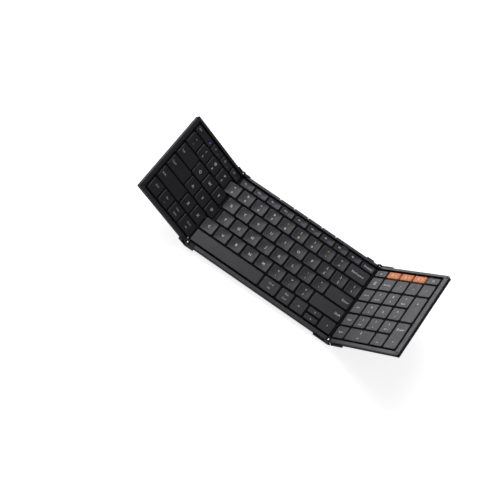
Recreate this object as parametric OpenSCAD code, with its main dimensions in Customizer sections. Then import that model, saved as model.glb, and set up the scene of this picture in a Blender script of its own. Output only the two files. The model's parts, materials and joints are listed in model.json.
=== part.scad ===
// Folding keyboard with a number pad: a centre section and two wings on friction hinges.
// Millimetres. X right, Y back, Z up. The origin is the middle of the centre section,
// midway between the two fold axes, on the surface that the feet stand on.
// Every piece is drawn with the keyboard laid open and flat. A wing and what it carries
// is then turned up about its fold axis by the angle at which it stands.

/* [Keys] */
// Distance from one key to the next, sideways and backwards
key_pitch = 19; // [18.6:0.1:19.4]
// Width of a number pad column
pad_pitch = 18.65; // [18.3:0.05:18.9]
// Width of the first number pad column
pad_first = 17.9; // [17.6:0.05:18.2]
// How far the first number pad column reaches over the right fold's axis
pad_lap = 0.4; // [0.3:0.05:0.5]
// Depth of the function key row
function_row = 11.3; // [10.8:0.1:12]
// Height of a keycap
cap_h = 1.7; // [1.5:0.05:1.9]
// How far a keycap's sides lean in from its foot to its top
cap_lean = 0.6; // [0.4:0.05:0.8]
// Corner radius at a keycap's foot
cap_r = 1.9; // [1.5:0.1:2.4]
// Thickness of a keycap's skirt at its foot
cap_wall = 1.6; // [1.4:0.05:1.8]
// Thickness of a keycap's top
cap_roof = 0.8; // [0.6:0.05:0.9]
// How far a key goes down
key_travel = 1.1; // [0.9:0.05:1.2]
// How far the key tops lie below the rim
key_drop = 0.3; // [0.2:0.05:0.5]
// Width of the bars between two keys
web_w = 0.6; // [0.5:0.05:0.8]
// Side clearance round a keycap in its opening
key_clear = 0.35; // [0.3:0.05:0.45]

/* [Rims] */
// Width of the left wing's outer rim
rim_left = 5.5; // [4.5:0.1:7]
// Width of the right wing's outer rim
rim_right = 6.1; // [4.5:0.1:7]
// Width of the front rim
rim_front = 4.6; // [4.2:0.1:5.6]
// Width of the back rim
rim_back = 3.6; // [3.5:0.1:4.6]
// Free space between the left rim and the first key column
space_left = 2.7; // [1.5:0.1:3.2]
// Free space between the last key column and the right rim
space_right = 1.7; // [1:0.1:2.4]
// Free space between the front rim and the first key row
space_front = 1.35; // [0.8:0.05:1.8]
// Free space between the last key row and the back rim
space_back = 1.5; // [1:0.05:2]
// Radius of the outer corners, seen from above
corner_r = 3; // [2:0.1:4]

/* [Thickness] */
// Thickness of a section, without its feet
body_t = 6.4; // [6.2:0.05:7]
// Height of the top frame's side
frame_h = 3.2; // [3.15:0.05:3.4]
// How far the bars between the keys lie below the rim
web_drop = 1.45; // [1.2:0.05:1.5]
// Thickness of the bottom cover's floor
floor_t = 0.7; // [0.6:0.05:0.9]
// Thickness of the bottom cover's side
side_t = 2.4; // [2.2:0.05:2.6]
// Thickness of the bottom cover's wall along a fold
fold_wall = 1; // [0.8:0.05:1.2]
// Radius of the bottom cover's lower edge
edge_r = 3.2; // [2.6:0.1:3.2]
// Bevel on the rim's outer edge
rim_bevel = 0.4; // [0.2:0.05:0.7]
// Bevel on the rim's inner edge
inner_bevel = 0.3; // [0.15:0.05:0.4]
// Thickness of the key deck
deck_t = 0.6; // [0.5:0.05:0.7]
// Thickness of the contact membrane
membrane_t = 0.25; // [0.2:0.05:0.35]
// Width of the ribs on the bottom cover's floor
rib_w = 1.2; // [0.8:0.1:2]

/* [Folds] */
// Place of the left fold, in key widths from the first key's left edge
left_fold_at = 4.35; // [4.3:0.01:4.4]
// Place of the right fold, in key widths from the first key's left edge
right_fold_at = 14.57; // [14.56:0.01:14.64]
// Angle at which the left wing stands
left_stands = 36.5; // [0:0.5:80]
// Angle at which the right wing stands
right_stands = 45; // [0:0.5:80]
// Gap between two sections along a fold
fold_gap = 0.5; // [0.4:0.05:0.6]
// Height of the fold axes over the rim
axis_lift = 0.3; // [0.25:0.05:0.5]
// Radius of the hinge knuckles
knuckle_r = 2.1; // [1.8:0.1:2.3]
// Radius of the hinge pins
pin_r = 0.7; // [0.6:0.05:0.9]
// Running clearance round a hinge pin
pin_clear = 0.05; // [0.03:0.01:0.08]
// End play between two knuckles
knuckle_gap = 0.12; // [0.08:0.01:0.2]
// How far a hinge leaf stands out from the front and back edge
leaf_proud = 1.2; // [0.6:0.1:1.6]
// How far a hinge leaf stands below the bottom cover
leaf_drop = 0.8; // [0.4:0.05:1]
// Length of the left fold's hinge leaves
left_leaf = 9.5; // [8:0.1:12]
// Length of the right fold's hinge leaves
right_leaf = 18.5; // [14:0.1:22]
// Length of a right leaf's head, which reaches up to the rim
right_head = 3.6; // [3.2:0.1:6]
// Fitting gap round a hinge leaf
leaf_fit = 0.1; // [0.05:0.01:0.2]
// Length of the raised lug on the centre section's back leaf at the right fold
lug_l = 9.5; // [7:0.5:12]
// Bevel along a leaf's lower edge
leaf_bevel = 1.2; // [0.8:0.1:1.3]
// Radius of the drum that closes a front hinge from below
drum_r = 6.5; // [5.5:0.1:6.6]
// Radius of the front pins' collars
front_collar_r = 1.4; // [1.3:0.05:1.8]
// Radius of the back pins' collars
back_collar_r = 1; // [0.9:0.05:1.6]
// How far the centre section's bottom cover laps under a wing
lap_w = 2.5; // [2:0.1:3]
// Thickness of the lap
lap_t = 0.6; // [0.5:0.05:0.7]
// Clearance between the lap and a wing's flat underside
lap_clear = 0.1; // [0.08:0.01:0.15]
// Clearance under a wing's round tongues
curve_clear = 0.3; // [0.3:0.05:0.4]
// How far the number row's lap reaches back under the wing's function row
lap_back = 3.2; // [2.5:0.1:4]
// Radius of the tongue under the key that reaches furthest past the left fold's axis
tongue_r = 7; // [6.95:0.05:7.1]
// Clearance between that tongue and the cradle under it
cradle_clear = 0.5; // [0.45:0.05:0.6]
// Thickness of the cradle's thin edge
cradle_edge = 0.25; // [0.2:0.05:0.4]

/* [Feet and bumpers] */
// Height of the feet
foot_h = 1.2; // [1.1:0.05:1.8]
// Length of a foot
foot_l = 13; // [8:0.5:18]
// Width of a foot
foot_w = 5; // [4:0.5:7]
// Radius of the bumpers on the wings' outer corners
bumper_r = 1.3; // [1:0.1:1.6]

/* [Electronics] */
// Width of the charging socket's shell
socket_w = 8.94; // [8.8:0.02:9.1]
// Height of the charging socket's shell
socket_h = 3.26; // [3.1:0.02:3.3]
// Thickness of the charging socket's shell
socket_t = 0.3; // [0.25:0.05:0.35]
// Distance of the charging socket from the right fold
socket_in = 45; // [40:0.5:50]
// Thickness of the battery
battery_t = 1.5; // [1.2:0.05:1.5]
// Length of the battery
battery_l = 62; // [40:1:70]
// Width of the battery
battery_w = 34; // [24:1:34]
// Thickness of the circuit board
board_t = 1; // [0.8:0.1:1.2]
// Length of the circuit board
board_l = 44; // [30:1:50]
// Width of the circuit board
board_w = 18; // [12:0.5:20]
// Distance between two indicator lights
light_pitch = 19.7; // [15:0.1:21]
// Length of an indicator light
light_l = 1.8; // [1.2:0.1:2.4]
// Width of an indicator light
light_w = 1; // [0.8:0.1:1.2]
// Distance of the indicator lights from the back edge
light_in = 1.1; // [1:0.05:1.8]

/* [Hidden] */
$fn = 32;

// Small overrun of a cutting tool
over = 1;
// Colours as the photograph shows them
key_colour = [0.17, 0.17, 0.18];
orange_colour = [0.85, 0.45, 0.2];
rim_colour = [0.2, 0.2, 0.21];
cover_colour = [0.1, 0.1, 0.11];
deck_colour = [0.07, 0.07, 0.08];
rubber_colour = [0.06, 0.06, 0.06];
steel_colour = [0.75, 0.75, 0.77];

// Heights above the surface
under_z = foot_h;
floor_z = under_z + floor_t;
rim_z = under_z + body_t;
split_z = rim_z - frame_h;
deck_z = split_z - deck_t;
membrane_z = deck_z - membrane_t;
web_z = rim_z - web_drop;
cap_top_z = rim_z - key_drop;
cap_foot_z = cap_top_z - cap_h;
pressed_roof_z = cap_top_z - cap_roof - key_travel;
axis_z = rim_z + axis_lift;

// Places sideways: the fold axes, and the outer ends
left_axis = -(right_fold_at - left_fold_at) * key_pitch / 2;
right_axis = -left_axis;
function key_x(u) = left_axis + (u - left_fold_at) * key_pitch;
left_in = key_x(0) - space_left;
left_out = left_in - rim_left;
function pad_x(n) = right_axis - pad_lap + (n > 0 ? pad_first + (n - 1) * pad_pitch : 0);
right_in = pad_x(5) + space_right;
right_out = right_in + rim_right;
centre_last = 14.5;

// Places backwards: rows run from 0 at the front to 5, the function keys
depth = rim_front + space_front + 5 * key_pitch + function_row + space_back + rim_back;
front_y = -depth / 2;
back_y = depth / 2;
rows_y = front_y + rim_front + space_front;
function row_y(r) = rows_y + (r > 5 ? 5 * key_pitch + function_row : r * key_pitch);
front_in = front_y + rim_front;
back_in = back_y - rim_back;
function band_y(r) = r == 0 ? front_in : r == 6 ? back_in : row_y(r);

// Where the left fold runs in each row, in key widths
fold_at = [4.26, 4.26, 4.73, 4.5, 4, 4.46];
fold_x = [for (u = fold_at) key_x(u)];
half_gap = fold_gap / 2;
// The centre section has a bar along a fold where its edge lies past the axis
edge_bar = 1;
function centre_start(r) = fold_x[r] + (fold_at[r] > left_fold_at ? edge_bar + half_gap : 0);
// Tongues that a lap runs under are trimmed closer to the axis
lap_r = axis_z - under_z - lap_t - curve_clear;
lap_end = [for (x = fold_x) min(x, left_axis) - lap_w];
lap_rows = [0, 1, 3, 4, 5];

// Keys, each as its cell [left, right, front, back]
function cells(r, xs) =
    [for (i = [0:len(xs) - 2]) [xs[i], xs[i + 1], row_y(r), row_y(r + 1)]];
function from_u(us) = [for (u = us) key_x(u)];
function centre_cells(r, us) = cells(r, concat([centre_start(r)], from_u(us)));
function pad_cell(c0, c1, r0, r1) = [pad_x(c0), pad_x(c1), row_y(r0), row_y(r1)];
function half(c, part) =
    let (mid = (c[2] + c[3]) / 2)
    part == 0 ? [c[0], c[1], c[2], mid] : [c[0], c[1], mid, c[3]];

left_function = cells(5, concat(from_u([0, 1.54, 2.54, 3.54]), [fold_x[5]]));
left_number = cells(4, from_u([0, 1, 2, 3, fold_at[4]]));
left_upper = cells(3, from_u([0, 1.54, 2.54, 3.54, fold_at[3]]));
left_home = cells(2, from_u([0, 1.77, 2.77, 3.77, fold_at[2]]));
left_lower = cells(1, from_u([0, 2.26, 3.26, fold_at[1]]));
left_modifier = cells(0, from_u([0, 1, 2, 3, fold_at[0]]));
left_cells = concat(left_function, left_number, left_upper, left_home, left_lower,
    left_modifier);

centre_function = centre_cells(5, concat([for (i = [0:8]) 5.54 + i], [centre_last]));
centre_row4 = centre_cells(4, concat([for (i = [5:13]) i], [centre_last]));
centre_row3 = centre_cells(3, concat([for (i = [0:8]) 5.54 + i], [centre_last]));
centre_row2 = centre_cells(2, concat([for (i = [0:7]) 5.77 + i], [centre_last]));
centre_row1 = centre_cells(1, concat([for (i = [0:7]) 5.26 + i], [centre_last]));
centre_row0 = centre_cells(0, [9.25, 10.5, 11.5, 12.5, 13.5, centre_last]);
down_arrow = half(centre_row0[4], 0);
up_arrow = half(centre_row0[4], 1);
function part_of(list, a, b) = [for (i = [a:b]) list[i]];
centre_cells_all = concat(centre_function, centre_row4, centre_row3, centre_row2,
    centre_row1, part_of(centre_row0, 0, 3), [down_arrow, up_arrow, centre_row0[5]]);

pad_function = [for (c = [0:4]) pad_cell(c, c + 1, 5, 6)];
pad_top = [for (c = [0:4]) pad_cell(c, c + 1, 4, 5)];
pad_upper = [for (c = [0:3]) pad_cell(c, c + 1, 3, 4)];
pad_plus = [pad_cell(4, 5, 2, 4)];
pad_middle = [for (c = [0:3]) pad_cell(c, c + 1, 2, 3)];
pad_lower = [for (c = [0:3]) pad_cell(c, c + 1, 1, 2)];
pad_enter = [pad_cell(4, 5, 0, 2)];
pad_bottom = [pad_cell(0, 1, 0, 1), pad_cell(1, 3, 0, 1), pad_cell(3, 4, 0, 1)];
right_cells = concat(pad_function, pad_top, pad_upper, pad_plus, pad_middle, pad_lower,
    pad_enter, pad_bottom);
// Keys with a raised bar that a finger finds
bar_keys = [centre_row2[0], centre_row2[3], pad_middle[2]];

// A wing turned up about its fold axis
module left_pose() {
    translate([left_axis, 0, axis_z]) rotate([0, left_stands, 0])
        translate([-left_axis, 0, -axis_z]) children();
}
module right_pose() {
    translate([right_axis, 0, axis_z]) rotate([0, -right_stands, 0])
        translate([-right_axis, 0, -axis_z]) children();
}

// A box given by its low and high corner
module box(a, b) {
    translate(a) cube([b[0] - a[0], b[1] - a[1], b[2] - a[2]]);
}
module area(a, b) {
    translate(a) square([b[0] - a[0], b[1] - a[1]]);
}

// What a round corner takes away from a square one; the corner is at the origin
module corner_waste(r) {
    difference() {
        translate([-over, -over]) square(r + over);
        translate([r, r]) circle(r);
    }
}

// Plans of the three sections, with the steps of the left fold
module left_plan() {
    difference() {
        union() {
            area([left_out, front_y], [left_axis - half_gap, front_in]);
            area([left_out, back_in], [left_axis - half_gap, back_y]);
            for (r = [0:5])
                area([left_out, band_y(r)], [fold_x[r] - half_gap, band_y(r + 1)]);
        }
        fold_steps();
        translate([left_out, front_y]) corner_waste(corner_r);
        translate([left_out, back_y]) mirror([0, 1]) corner_waste(corner_r);
    }
}
module right_plan() {
    difference() {
        area([right_axis + half_gap, front_y], [right_out, back_y]);
        translate([right_out, front_y]) mirror([1, 0]) corner_waste(corner_r);
        translate([right_out, back_y]) rotate(180) corner_waste(corner_r);
    }
}
module centre_plan() {
    difference() {
        union() {
            area([left_axis + half_gap, front_y], [right_axis - half_gap, front_in]);
            area([left_axis + half_gap, back_in], [right_axis - half_gap, back_y]);
            for (r = [0:5])
                area([fold_x[r] + half_gap, band_y(r)], [right_axis - half_gap, band_y(r + 1)]);
        }
        fold_steps();
    }
}
// The gaps across the steps of the left fold
module fold_steps(half = half_gap) {
    edges = concat([left_axis], fold_x, [left_axis]);
    for (i = [0:6]) {
        a = min(edges[i], edges[i + 1]) - half_gap;
        b = max(edges[i], edges[i + 1]) + half_gap;
        area([a, band_y(i) - half], [b, band_y(i) + half]);
    }
}

// Outline across the keyboard: bevelled above, rounded below
module depth_profile() {
    difference() {
        area([front_y, under_z], [back_y, rim_z]);
        for (s = [0, 1]) mirror([s, 0]) {
            translate([front_y, under_z]) corner_waste(edge_r);
            translate([front_y, rim_z]) rotate(45)
                square(2 * rim_bevel / sqrt(2), center = true);
        }
    }
}
// Outline along a wing, whose outer end is at x = 0 and which runs towards +x
module length_profile(l) {
    difference() {
        area([0, under_z], [l, rim_z]);
        translate([0, under_z]) corner_waste(edge_r);
        translate([0, rim_z]) rotate(45) square(2 * rim_bevel / sqrt(2), center = true);
    }
}
module along_x(x0, x1) {
    translate([x0, 0, 0]) rotate([90, 0, 90]) linear_extrude(x1 - x0) children();
}
module along_y(y0, y1) {
    translate([0, y1, 0]) rotate([90, 0, 0]) linear_extrude(y1 - y0) children();
}

// Solid blanks of the sections, from which frame and cover are cut
module left_blank() {
    intersection() {
        translate([0, 0, under_z]) linear_extrude(body_t) left_plan();
        along_x(left_out, left_axis + tongue_r) depth_profile();
        along_y(front_y, back_y) translate([left_out, 0])
            length_profile(left_axis + tongue_r - left_out);
    }
}
module right_blank() {
    intersection() {
        translate([0, 0, under_z]) linear_extrude(body_t) right_plan();
        along_x(right_axis, right_out) depth_profile();
        along_y(front_y, back_y) translate([right_out, 0]) mirror([1, 0])
            length_profile(right_out - right_axis);
    }
}
module centre_blank() {
    intersection() {
        translate([0, 0, under_z]) linear_extrude(body_t) centre_plan();
        along_x(left_axis - key_pitch, right_axis) depth_profile();
    }
}
// What the left wing's tongues may not reach: all outside a circle round the fold axis,
// and the room of the centre section's laps
module fold_drum(r) {
    translate([left_axis, 0, axis_z]) rotate([90, 0, 0])
        cylinder(h = depth + 4 * over, r = r, center = true, $fn = 64);
}
module tongue_trim() {
    difference() {
        box([left_axis, front_y - over, -over], [left_axis + 2 * key_pitch, back_y + over, axis_z]);
        fold_drum(tongue_r);
    }
    for (r = lap_rows) {
        box([lap_end[r] - half_gap, band_y(r), 0],
            [fold_x[r] + over, band_y(r + 1), under_z + lap_t + lap_clear]);
        difference() {
            box([left_axis, band_y(r), 0], [left_axis + key_pitch, band_y(r + 1), axis_z]);
            fold_drum(lap_r);
        }
    }
    box([lap_end[4] - half_gap, band_y(5), 0],
        [left_axis, band_y(5) + lap_back + half_gap, under_z + lap_t + lap_clear]);
}
// The frames have no bar along the steps of the left fold
module step_room() {
    translate([0, 0, split_z]) linear_extrude(body_t) fold_steps(web_w / 2 + 0.01);
}
module right_lap_room() {
    box([right_axis - over, front_in, 0],
        [right_axis + lap_w + half_gap, back_in, under_z + lap_t + lap_clear]);
}
// Laps of the centre section under the wings, and the cradle under the longest tongue
module left_lap(r, y0, y1) {
    wall = fold_x[r] + half_gap + fold_wall / 2;
    box([lap_end[r], y0, under_z], [wall, y1, under_z + lap_t]);
    if (fold_x[r] > left_axis) difference() {
        box([left_axis, y0, under_z], [wall, y1, deck_z]);
        fold_drum(lap_r + curve_clear);
    }
}
module laps() {
    cradle_r = tongue_r + cradle_clear;
    cradle_in = left_axis + sqrt(pow(cradle_r, 2) - pow(axis_z - under_z - cradle_edge, 2));
    left_lap(0, band_y(0) + half_gap, band_y(2) - half_gap);
    for (r = [3, 4]) left_lap(r, band_y(r) + half_gap, band_y(r + 1) - half_gap);
    left_lap(5, band_y(5) + half_gap, back_in - leaf_fit);
    box([lap_end[4], band_y(4) + half_gap, under_z],
        [fold_x[5] + over, band_y(5) + lap_back, under_z + lap_t]);
    difference() {
        box([cradle_in, band_y(2) + half_gap, under_z],
            [fold_x[2] + half_gap + fold_wall / 2, band_y(3) - half_gap, deck_z]);
        fold_drum(cradle_r);
    }
    box([right_axis - half_gap - fold_wall / 2, front_in + half_gap, under_z],
        [right_axis + lap_w, back_in - leaf_fit, under_z + lap_t]);
}

// Openings for the keys: an opening next to a rim or an open fold runs out to it
module key_openings(list, x_low, x_high, open_low, open_high) {
    for (c = list) {
        a = c[0] < x_low + 0.01 ? open_low : c[0] + web_w / 2;
        b = c[1] > x_high - 0.01 ? open_high : c[1] - web_w / 2;
        y0 = c[2] < row_y(0) + 0.01 ? front_in : c[2] + web_w / 2;
        y1 = c[3] > row_y(6) - 0.01 ? back_in : c[3] - web_w / 2;
        box([a, y0, split_z - over], [b, y1, rim_z + over]);
    }
}

// Room for a hinge leaf: reach below, head up to the rim
module leaf_room(axis, side, front, reach, head) {
    y0 = front ? front_y - over : back_in - leaf_fit;
    y1 = front ? front_in + leaf_fit : back_y + over;
    translate([axis, 0, 0]) scale_x(side) {
        box([-over, y0, 0], [reach + leaf_fit, y1, split_z]);
        box([-over, y0, split_z - over / 2], [head + leaf_fit, y1, rim_z + over]);
    }
}
module scale_x(side) {
    if (side < 0) mirror([1, 0, 0]) children();
    else children();
}
module left_leaf_room(side) {
    for (front = [true, false]) leaf_room(left_axis, side, front, left_leaf, left_leaf);
}
module right_leaf_room(side) {
    for (front = [true, false]) leaf_room(right_axis, side, front, right_leaf, right_head);
}

// Bevels along a rim's inner edges
module inner_bevels(x0, x1) {
    along_x(x0, x1) for (y = [front_in, back_in]) translate([y, rim_z]) rotate(45)
        square(2 * inner_bevel / sqrt(2), center = true);
}
module end_bevel(x) {
    along_y(front_in, back_in) translate([x, rim_z]) rotate(45)
        square(2 * inner_bevel / sqrt(2), center = true);
}

// Top frames: rim, bars between the keys, and the key openings
module left_frame() {
    color(rim_colour) left_pose() difference() {
        left_blank();
        box([left_out - over, front_y - over, 0], [left_axis + 2 * key_pitch, back_y + over, split_z]);
        box([left_in, front_in, web_z], [left_axis + 2 * key_pitch, back_in, rim_z + over]);
        for (r = [0:5])
            key_openings([for (c = left_cells) if (abs(c[3] - row_y(r + 1)) < 0.01) c],
                key_x(0), fold_x[r], left_in, fold_x[r] + over);
        inner_bevels(left_in - inner_bevel, left_axis + 2 * key_pitch);
        end_bevel(left_in);
        left_leaf_room(-1);
        tongue_trim();
        step_room();
    }
}
module right_frame() {
    color(rim_colour) right_pose() difference() {
        right_blank();
        box([right_axis - over, front_y - over, 0], [right_out + over, back_y + over, split_z]);
        box([right_axis - over, front_in, web_z], [right_in, back_in, rim_z + over]);
        key_openings(right_cells, pad_x(0), pad_x(5), right_axis - over, right_in);
        inner_bevels(right_axis - over, right_in + inner_bevel);
        end_bevel(right_in);
        right_leaf_room(1);
    }
}
module centre_frame() {
    color(rim_colour) difference() {
        centre_blank();
        box([left_axis - key_pitch, front_y - over, 0], [right_axis + over, back_y + over, split_z]);
        box([left_axis - key_pitch, front_in, web_z], [right_axis + over, back_in, rim_z + over]);
        for (r = [0:5]) {
            bar = fold_at[r] > left_fold_at;
            low = bar ? fold_x[r] : centre_start(r);
            key_openings([for (c = centre_cells_all) if (c[2] > row_y(r) - 0.01 &&
                c[3] < row_y(r + 1) + 0.01) c], low, right_axis, fold_x[r] - over, right_axis);
        }
        left_leaf_room(1);
        right_leaf_room(-1);
        inner_bevels(left_axis - key_pitch, right_axis + over);
        socket_room();
        light_holes(0.05);
        front_notch();
        step_room();
    }
}
// Thin notch in the front rim
module front_notch() {
    box([key_x(9.86), front_y - over, rim_z - 0.5], [key_x(9.88), front_in, rim_z + over]);
}

// Room inside a bottom cover, for its parts or with a margin for the membrane
module left_tray(margin) {
    x0 = left_out + side_t + margin;
    deepest = axis_z - floor_z;
    tongue_in = left_axis + sqrt(max(0, pow(tongue_r - fold_wall, 2) - pow(deepest, 2)));
    area([x0, front_y + side_t + margin],
        [lap_end[4] - half_gap - fold_wall - margin, back_y - side_t - margin]);
    for (r = [0:5]) {
        x1 = (r == 2 ? tongue_in : lap_end[r] - half_gap - fold_wall) - margin;
        area([x0, band_y(r) + (r == 5 ? lap_back : 0) + half_gap + fold_wall + margin],
            [x1, band_y(r + 1) - half_gap - fold_wall - margin]);
    }
}
module centre_tray(margin) {
    x1 = right_axis - half_gap - fold_wall - margin;
    area([fold_x[2] + half_gap + fold_wall + margin, front_y + side_t + margin],
        [x1, back_y - side_t - margin]);
    for (r = [0:5])
        area([fold_x[r] + half_gap + fold_wall + margin,
                band_y(r) + half_gap + fold_wall + margin],
            [x1, band_y(r + 1) - half_gap - fold_wall - margin]);
}
module right_tray(margin) {
    area([right_axis + lap_w + half_gap + fold_wall + margin, front_y + side_t + margin],
        [right_out - side_t - margin, back_y - side_t - margin]);
}
// Ribs that carry the membrane, between x0 and x1
module ribs(x0, x1) {
    count = round((x1 - x0) / (2 * key_pitch));
    for (i = [1:count - 1]) {
        x = x0 + i * (x1 - x0) / count;
        area([x - rib_w / 2, front_y], [x + rib_w / 2, back_y]);
    }
    for (r = [1:2:5]) area([x0, row_y(r) - rib_w / 2], [x1, row_y(r) + rib_w / 2]);
}

// Bottom covers: trays with a rounded lower edge
module left_cover() {
    color(cover_colour) left_pose() difference() {
        left_blank();
        box([left_out - over, front_y - over, split_z],
            [left_axis + 2 * key_pitch, back_y + over, rim_z + over]);
        left_deck_room(0);
        translate([0, 0, membrane_z]) linear_extrude(body_t) left_tray(0);
        translate([0, 0, floor_z]) linear_extrude(body_t) difference() {
            left_tray(0);
            ribs(left_out, fold_x[4]);
        }
        left_leaf_room(-1);
        tongue_trim();
    }
}
module right_cover() {
    color(cover_colour) right_pose() difference() {
        right_blank();
        box([right_axis - over, front_y - over, split_z],
            [right_out + over, back_y + over, rim_z + over]);
        right_deck_room(0);
        translate([0, 0, membrane_z]) linear_extrude(body_t) right_tray(0);
        translate([0, 0, floor_z]) linear_extrude(body_t) difference() {
            right_tray(0);
            ribs(right_axis, right_out);
        }
        right_leaf_room(1);
        right_lap_room();
    }
}
module centre_cover() {
    color(cover_colour) laps();
    color(cover_colour) difference() {
        centre_blank();
        box([left_axis - key_pitch, front_y - over, split_z],
            [right_axis + over, back_y + over, rim_z + over]);
        centre_deck_room(0);
        translate([0, 0, membrane_z]) linear_extrude(body_t) centre_tray(0);
        translate([0, 0, floor_z]) linear_extrude(body_t) difference() {
            centre_tray(0);
            difference() {
                ribs(left_axis, right_axis);
                battery_area(0.5);
                board_area(0.5);
            }
        }
        left_leaf_room(1);
        right_leaf_room(-1);
        socket_room();
    }
}

// Room for a deck in its cover, drawn in by a margin for the deck itself
module left_deck_room(margin) {
    box([left_out + side_t + margin, front_y + side_t + margin, deck_z],
        [left_axis + 2 * key_pitch, back_y - side_t - margin, split_z + (margin > 0 ? 0 : over)]);
}
module right_deck_room(margin) {
    box([right_axis - over, front_y + side_t + margin, deck_z],
        [right_out - side_t - margin, back_y - side_t - margin, split_z + (margin > 0 ? 0 : over)]);
}
module centre_deck_room(margin) {
    box([left_axis - key_pitch, front_y + side_t + margin, deck_z],
        [right_axis + over, back_y - side_t - margin, split_z + (margin > 0 ? 0 : over)]);
}
deck_margin = 0.15;
membrane_margin = 0.2;

// Key decks: plates with a window for the dome of each key
module windows(list) {
    for (c = list) {
        w = 2 * (dome_r(c) + 0.35);
        translate([(c[0] + c[1]) / 2, (c[2] + c[3]) / 2, deck_z + deck_t / 2])
            cube([w, w, 2 * deck_t], center = true);
    }
}
module left_deck() {
    color(deck_colour) left_pose() difference() {
        intersection() {
            left_blank();
            left_deck_room(deck_margin);
        }
        windows(left_cells);
        left_leaf_room(-1);
        tongue_trim();
    }
}
module right_deck() {
    color(deck_colour) right_pose() difference() {
        intersection() {
            right_blank();
            right_deck_room(deck_margin);
        }
        windows(right_cells);
        right_leaf_room(1);
    }
}
module centre_deck() {
    color(deck_colour) difference() {
        intersection() {
            centre_blank();
            centre_deck_room(deck_margin);
        }
        windows(centre_cells_all);
        left_leaf_room(1);
        right_leaf_room(-1);
        socket_room();
    }
}

// Contact membranes under the decks
module left_membrane() {
    color("slategray") left_pose() difference() {
        translate([0, 0, membrane_z]) linear_extrude(membrane_t) left_tray(membrane_margin);
        left_leaf_room(-1);
    }
}
module right_membrane() {
    color("slategray") right_pose() difference() {
        translate([0, 0, membrane_z]) linear_extrude(membrane_t) right_tray(membrane_margin);
        right_leaf_room(1);
    }
}
module centre_membrane() {
    color("slategray") difference() {
        translate([0, 0, membrane_z]) linear_extrude(membrane_t) centre_tray(membrane_margin);
        left_leaf_room(1);
        right_leaf_room(-1);
        socket_room();
    }
}

// Rubber domes, at the height they have with the key down
function cell_d(c) = c[3] - c[2];
function dome_r(c) = min(2.9, cell_d(c) * 0.16);
module domes(list) {
    for (c = list)
        translate([(c[0] + c[1]) / 2, (c[2] + c[3]) / 2, deck_z])
            cylinder(h = pressed_roof_z - 0.05 - deck_z, r1 = dome_r(c), r2 = 0.62 * dome_r(c));
}
module left_domes() {
    color("gainsboro") left_pose() domes(left_cells);
}
module centre_domes() {
    color("gainsboro") domes(centre_cells_all);
}
module right_domes() {
    color("gainsboro") right_pose() domes(right_cells);
}

// Scissor links, folded down: a ring round each dome, inside the skirt of the cap
function pocket_w(c) = c[1] - c[0] - 2 * (web_w / 2 + key_clear + cap_wall);
function pocket_d(c) = cell_d(c) - 2 * (web_w / 2 + key_clear + cap_wall);
link_t = 0.9;
link_clear = 0.3;
module scissors(list) {
    for (c = list) if (cell_d(c) > 0.55 * key_pitch) {
        w = min(pocket_w(c), key_pitch - 2 * (web_w / 2 + key_clear + cap_wall)) - 2 * link_clear;
        d = min(pocket_d(c), key_pitch - 2 * (web_w / 2 + key_clear + cap_wall)) - 2 * link_clear;
        translate([(c[0] + c[1]) / 2, (c[2] + c[3]) / 2, split_z])
            linear_extrude(pressed_roof_z - 0.05 - split_z) difference() {
                square([w, d], center = true);
                square([w - 2 * link_t, d - 2 * link_t], center = true);
            }
    }
}
module left_scissors() {
    color("dimgray") left_pose() scissors(left_cells);
}
module centre_scissors() {
    color("dimgray") scissors(centre_cells_all);
}
module right_scissors() {
    color("dimgray") right_pose() scissors(right_cells);
}

// A keycap: sides that lean in, round corners, hollow below
module cap(c) {
    side = web_w / 2 + key_clear;
    x0 = c[0] + side;
    x1 = c[1] - side;
    y0 = c[2] + side;
    y1 = c[3] - side;
    translate([0, 0, cap_foot_z]) difference() {
        union() {
            for (x = [x0 + cap_r, x1 - cap_r], y = [y0 + cap_r, y1 - cap_r])
                translate([x, y, 0]) cylinder(h = cap_h, r1 = cap_r, r2 = cap_r - cap_lean);
            along_y(y0 + cap_r, y1 - cap_r)
                polygon([[x0, 0], [x1, 0], [x1 - cap_lean, cap_h], [x0 + cap_lean, cap_h]]);
            along_x(x0 + cap_r, x1 - cap_r)
                polygon([[y0, 0], [y1, 0], [y1 - cap_lean, cap_h], [y0 + cap_lean, cap_h]]);
        }
        box([x0 + cap_wall, y0 + cap_wall, -over], [x1 - cap_wall, y1 - cap_wall, cap_h - cap_roof]);
    }
}
module caps(list) {
    for (c = list) {
        cap(c);
        if (len([for (b = bar_keys) if (b == c) 1]) > 0)
            translate([(c[0] + c[1]) / 2, c[2] + 4.2, cap_top_z])
                cube([3.4, 0.6, 0.4], center = true);
    }
}
module left_caps(list, paint = key_colour) {
    color(paint) left_pose() caps(list);
}
module centre_caps(list, paint = key_colour) {
    color(paint) caps(list);
}
module right_caps(list, paint = key_colour) {
    color(paint) right_pose() caps(list);
}

// Hinge leaves, drawn at the axis with their section towards +x. Across the edge of the
// keyboard lie one leaf's knuckle, the pin's collar, and the other leaf's knuckle.
function leaf_y0(front) = front ? front_y - leaf_proud : back_in;
function leaf_y1(front) = front ? front_in : back_y + leaf_proud;
function knuckle_w(front) = (leaf_y1(front) - leaf_y0(front) - 2 * knuckle_gap) / 3;
// Slot 0 is the outer third, 1 the middle and 2 the inner one
function slot_y(front, slot) =
    let (step = knuckle_w(front) + knuckle_gap)
    front ? leaf_y0(front) + slot * step : leaf_y1(front) - slot * step - knuckle_w(front);
leaf_slope = 2.5;
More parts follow.
